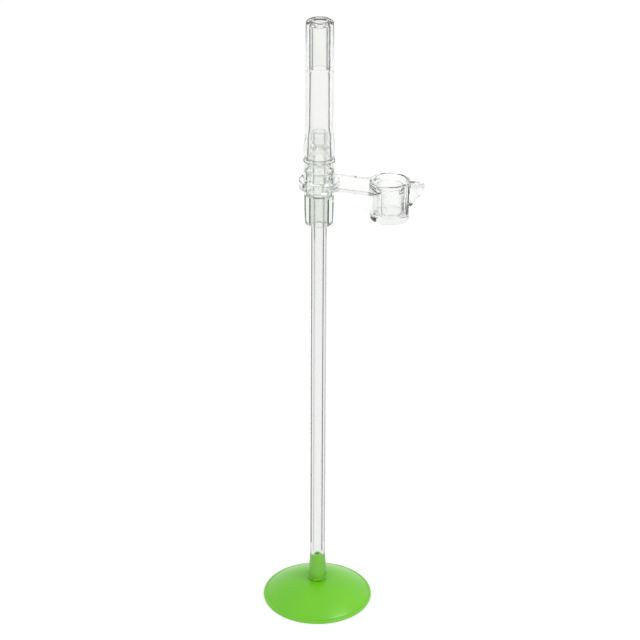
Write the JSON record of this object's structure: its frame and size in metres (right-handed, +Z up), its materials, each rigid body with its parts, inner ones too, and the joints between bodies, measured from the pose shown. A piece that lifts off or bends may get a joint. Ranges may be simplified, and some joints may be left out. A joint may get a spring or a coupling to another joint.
{
  "type": "aquarium siphon with a standing suction foot",
  "caption": "Slim clear siphon tube on a dished green suction foot, with a soft squeeze tube plugged into its neck and a tethered cap.",
  "frame": {"origin": "centre of the bounding box at its base, on the surface that the foot stands on; the stem's axis is 11.65 mm towards -X", "axes": "+Z up along the stem, +X from the stem towards the cap on its strap"},
  "size_m": [0.0826, 0.0594, 0.3313],
  "materials": {
    "green_vinyl": "soft glossy moulded vinyl, lime green",
    "clear_acrylic": "rigid, clear and glossy",
    "clear_vinyl": "soft, clear and glossy",
    "milky_silicone": "soft, slightly milky and glossy"
  },
  "bodies": {
    "foot": {"suction_disc": "green_vinyl", "foot_spigot": "green_vinyl"},
    "stem": {"stem_tube": "clear_acrylic", "neck_socket": "clear_acrylic"},
    "collar": {"collar_ring": "clear_vinyl", "tether_strap_root": "clear_vinyl"},
    "cap": {"tether_strap_end": "clear_vinyl", "cap_shell": "clear_vinyl", "cap_seal": "clear_vinyl", "thumb_tab": "clear_vinyl"},
    "nipple": {"ridged_nipple": "clear_acrylic"},
    "tube": {"squeeze_tube": "milky_silicone"},
    "stopper": {"end_plug": "clear_acrylic"}
  },
  "joints": [
    {"name": "stem_pull", "type": "slide", "parent": "foot", "child": "stem", "axis": [0, 0, 1], "range_m": [0, 0.016]},
    {"name": "collar_turn", "type": "hinge", "parent": "stem", "child": "collar", "pos_m": [-0.01165, 0, 0.2462], "axis": [0, 0, 1], "continuous": true},
    {"name": "cap_fold", "type": "hinge", "parent": "collar", "child": "cap", "pos_m": [0.0061, 0, 0.24625], "axis": [0, -1, 0], "range_deg": [0, 105]},
    {"name": "nipple_pull", "type": "slide", "parent": "stem", "child": "nipple", "axis": [0, 0, 1], "range_m": [0, 0.019]},
    {"name": "tube_pull", "type": "slide", "parent": "nipple", "child": "tube", "axis": [0, 0, 1], "range_m": [0, 0.0155]},
    {"name": "stopper_pull", "type": "slide", "parent": "tube", "child": "stopper", "axis": [0, 0, 1], "range_m": [0, 0.025]}
  ]
}
